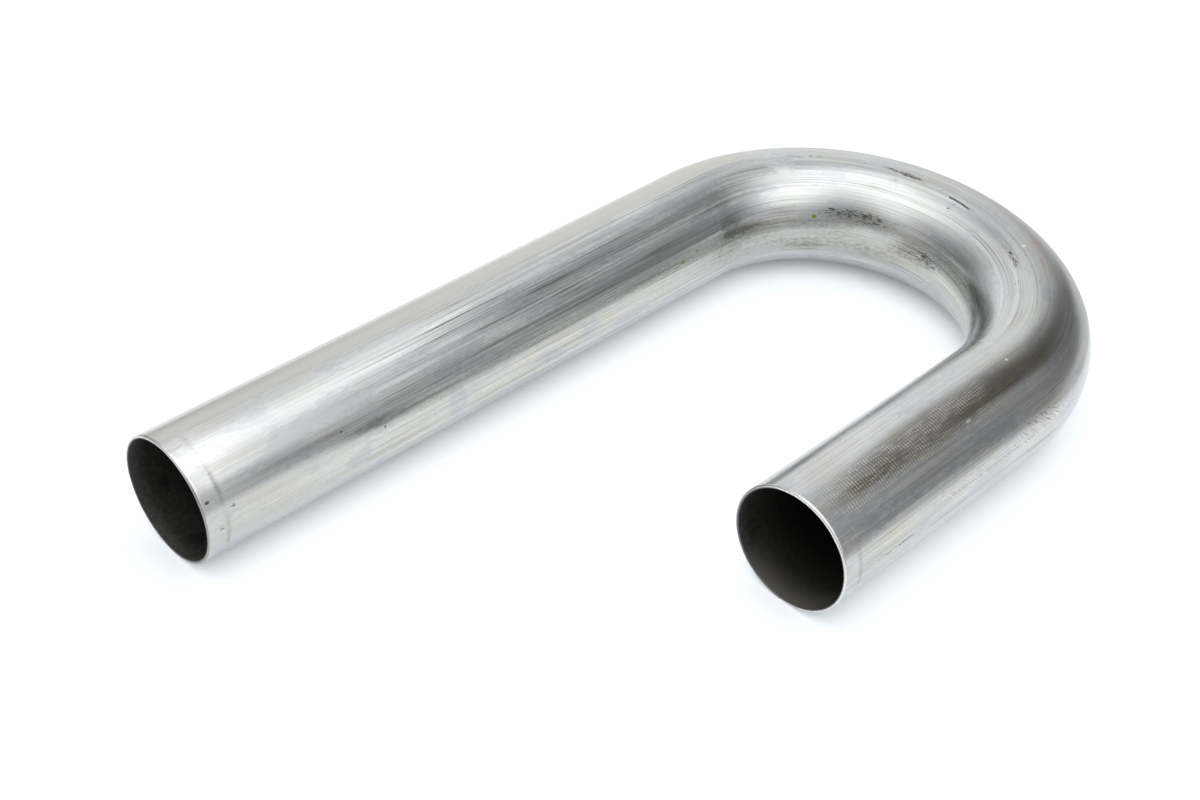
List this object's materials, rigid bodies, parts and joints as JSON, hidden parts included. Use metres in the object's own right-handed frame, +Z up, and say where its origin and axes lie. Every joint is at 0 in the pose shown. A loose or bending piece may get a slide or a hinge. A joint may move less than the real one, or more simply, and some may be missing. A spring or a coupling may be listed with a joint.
{
  "type": "exhaust j-bend",
  "caption": "Mandrel-bent round steel exhaust tube: a half-turn bend between a long and a short straight leg, open at both mouths.",
  "frame": {"origin": "under the middle of the tube's outer box, on the surface the bend lies on", "axes": "+Z up, square to the plane of the bend; +Y along the legs, from the mouths towards the bend; +X from the long leg towards the short leg"},
  "size_m": [0.2666, 0.4753, 0.0635],
  "materials": {
    "bare_steel": "bare drawn steel, satin, with lengthwise die streaks and light handling marks"
  },
  "bodies": {
    "root": {"j_bend_tube": "bare_steel"}
  },
  "joints": []
}
